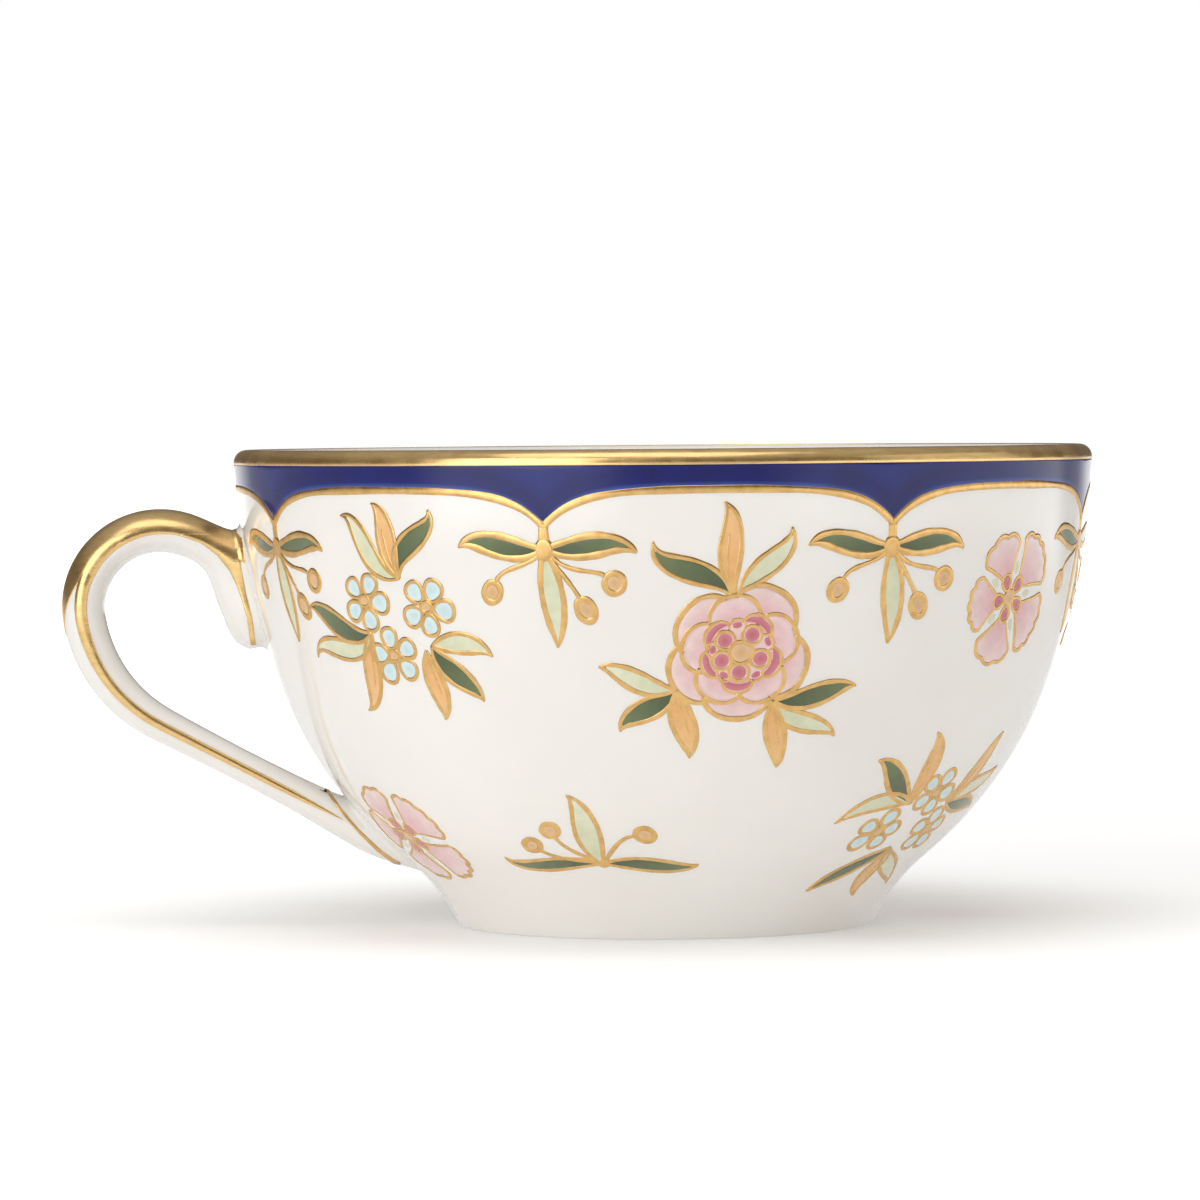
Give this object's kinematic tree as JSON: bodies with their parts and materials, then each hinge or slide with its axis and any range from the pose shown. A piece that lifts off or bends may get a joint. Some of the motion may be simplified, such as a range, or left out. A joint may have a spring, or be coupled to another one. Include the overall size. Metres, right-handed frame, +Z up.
{
  "type": "teacup",
  "caption": "Round bone china teacup with a looped handle, gilded lip, scalloped cobalt border and enamelled flower sprays, standing on a low foot ring.",
  "frame": {"origin": "middle of the foot ring's standing face, on the bowl's axis, at the level of the table", "axes": "+Z is up along the bowl's axis from the foot to the rim; -X points from the bowl's axis to the handle; +Y completes a right-handed frame"},
  "size_m": [0.1201, 0.1, 0.0556],
  "materials": {
    "bone_china": "glossy clear glaze over warm white china",
    "gold": "burnished gold, softly brushed",
    "cobalt": "deep glossy cobalt under glaze",
    "enamel_green": "glossy leaf green enamel",
    "enamel_blue": "glossy pale blue enamel",
    "enamel_rose": "glossy rose enamel",
    "enamel_pink": "glossy pale pink enamel"
  },
  "bodies": {
    "root": {"bowl": "bone_china", "handle": "bone_china", "upper_slip_joint": "bone_china", "lower_slip_joint": "bone_china", "cobalt_ground": "cobalt", "gilt_handle_crest": "gold", "gilt_handle_line_back": "gold", "gilt_handle_line_front": "gold", "gilt_lower_root_line": "gold", "gilt_rim": "gold", "gilt_scallop_line": "gold", "gilt_upper_root_line": "gold", "peony_back": "enamel_rose", "peony_back_leaves": "enamel_green", "peony_front": "enamel_rose", "peony_front_leaves": "enamel_green", "blue_spray_lower_back": "enamel_blue", "blue_spray_lower_back_leaves": "enamel_green", "blue_spray_lower_front": "enamel_blue", "blue_spray_lower_front_leaves": "enamel_green", "blue_spray_upper_back": "enamel_blue", "blue_spray_upper_back_leaves": "enamel_green", "blue_spray_upper_left": "enamel_blue", "blue_spray_upper_left_leaves": "enamel_green", "blue_spray_upper_right": "enamel_blue", "blue_spray_upper_right_leaves": "enamel_green", "rosette_lower_left": "enamel_pink", "rosette_lower_right": "enamel_pink", "rosette_upper_back": "enamel_pink", "rosette_upper_right": "enamel_pink", "sprig_back": "enamel_green", "sprig_front": "enamel_green", "pendant_1": "enamel_green", "pendant_2": "enamel_green", "pendant_3": "enamel_green", "pendant_4": "enamel_green", "pendant_5": "enamel_green", "pendant_6": "enamel_green", "pendant_7": "enamel_green", "pendant_8": "enamel_green"}
  },
  "joints": []
}
